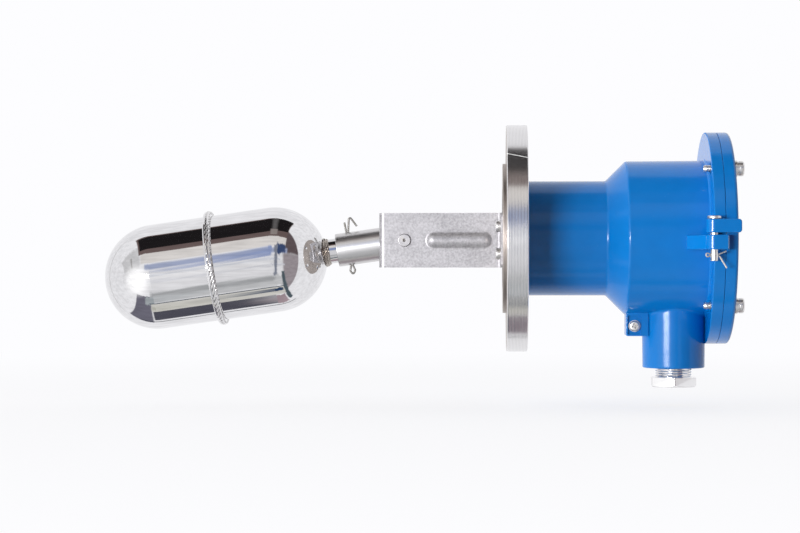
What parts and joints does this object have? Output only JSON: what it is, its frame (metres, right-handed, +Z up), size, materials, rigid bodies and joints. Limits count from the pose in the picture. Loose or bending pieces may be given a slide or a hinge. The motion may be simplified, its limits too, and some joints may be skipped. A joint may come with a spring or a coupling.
{
  "type": "float switch",
  "caption": "Flange-mounted float switch: hollow capsule float on a pivoted arm, magnet-coupled contact lever in a round hinged housing with a cable gland.",
  "frame": {"origin": "centre of the mounting flange's raised gasket face", "axes": "+X along the switch from the tank side towards the hinged cover, +Z up, the cable gland hangs down and the cover hinge is on the -Y side"},
  "size_m": [0.517, 0.191, 0.2135],
  "materials": {
    "polished_steel": "mirror polished stainless steel",
    "turned_steel": "fine turned stainless steel",
    "flange_steel": "turned stainless steel with visible tool lines",
    "blasted_sheet": "bead-blasted stainless sheet",
    "bright_wire": "drawn steel wire",
    "bright_fastener": "bright zinc or stainless",
    "dark_fastener": "blackened steel",
    "blue_paint": "glossy blue enamel on cast aluminium",
    "black_rubber": "matt rubber",
    "moulded_base": "dark phenolic moulding",
    "contact_brass": "satin brass",
    "ferrite": "dull ferrite",
    "white_nylon": "natural nylon",
    "nickel_plate": "nickel-plated brass"
  },
  "bodies": {
    "fixed_body": {"mounting_flange": "flange_steel", "arm_bracket": "blasted_sheet", "bracket_screws": "bright_fastener", "bracket_spring_washers": "bright_fastener", "pivot_pin": "turned_steel", "pivot_spacers": "white_nylon", "housing": "blue_paint", "housing_screws": "dark_fastener", "housing_screw_washers": "bright_fastener", "neck_gasket": "black_rubber", "cover_gasket": "black_rubber", "base_posts": "bright_fastener", "contact_base": "moulded_base", "base_screws": "bright_fastener", "terminal_clamps": "contact_brass", "terminal_screws": "bright_fastener", "cheek_screws": "bright_fastener", "pivot_cheeks": "contact_brass", "contact_pin": "bright_fastener", "upper_contacts": "contact_brass", "lower_contacts": "contact_brass", "outer_earth_screw": "bright_fastener", "outer_earth_washer": "bright_fastener", "inner_earth_screw": "bright_fastener", "inner_earth_clamp": "contact_brass", "gland_washer": "bright_fastener", "gland_bush": "black_rubber", "hinge_pin": "bright_fastener", "hinge_split_pin": "bright_wire"},
    "float_arm": {"float_outer_shell": "polished_steel", "float_inner_shell": "polished_steel", "float_seam_weld": "polished_steel", "float_boss": "turned_steel", "float_neck_weld": "polished_steel", "float_rod": "polished_steel", "arm_sleeve": "turned_steel", "arm_split_pin": "bright_wire", "lever_bar": "turned_steel", "magnet_can": "turned_steel", "wet_magnet": "ferrite", "magnet_cap": "turned_steel"},
    "lever": {"contact_lever": "contact_brass", "dry_magnet_can": "turned_steel", "dry_magnet": "ferrite", "dry_magnet_cap": "turned_steel", "bridge_carrier": "moulded_base", "contact_bridge": "contact_brass"},
    "cover_lid": {"cover": "blue_paint"},
    "gland": {"gland_nut": "nickel_plate"},
    "bolt_1": {"cover_bolt_1": "bright_fastener", "cover_washers_1": "bright_fastener"},
    "bolt_2": {"cover_bolt_2": "bright_fastener", "cover_washers_2": "bright_fastener"},
    "bolt_3": {"cover_bolt_3": "bright_fastener", "cover_washers_3": "bright_fastener"},
    "bolt_4": {"cover_bolt_4": "bright_fastener", "cover_washers_4": "bright_fastener"}
  },
  "joints": [
    {"name": "float_swing", "type": "hinge", "parent": "fixed_body", "child": "float_arm", "pos_m": [-0.0797, 0, -0.0017], "axis": [0, 1, 0], "range_deg": [0, 16.4]},
    {"name": "contact_swing", "type": "hinge", "parent": "fixed_body", "child": "lever", "pos_m": [0.046, 0, 0], "axis": [0, 1, 0], "range_deg": [0, 16]},
    {"name": "cover_swing", "type": "hinge", "parent": "fixed_body", "child": "cover_lid", "pos_m": [0.1628, -0.0925, 0], "axis": [0, 0, -1], "range_deg": [0, 120]},
    {"name": "gland_draw", "type": "slide", "parent": "fixed_body", "child": "gland", "axis": [0, 0, -1], "range_m": [0, 0.014]},
    {"name": "cover_bolt_1_draw", "type": "slide", "parent": "cover_lid", "child": "bolt_1", "axis": [1, 0, 0], "range_m": [0, 0.026]},
    {"name": "cover_bolt_2_draw", "type": "slide", "parent": "cover_lid", "child": "bolt_2", "axis": [1, 0, 0], "range_m": [0, 0.026]},
    {"name": "cover_bolt_3_draw", "type": "slide", "parent": "cover_lid", "child": "bolt_3", "axis": [1, 0, 0], "range_m": [0, 0.026]},
    {"name": "cover_bolt_4_draw", "type": "slide", "parent": "cover_lid", "child": "bolt_4", "axis": [1, 0, 0], "range_m": [0, 0.026]}
  ],
  "couplings": [
    {"joint": "contact_swing", "follows": "float_swing", "ratio": 0.9756}
  ]
}
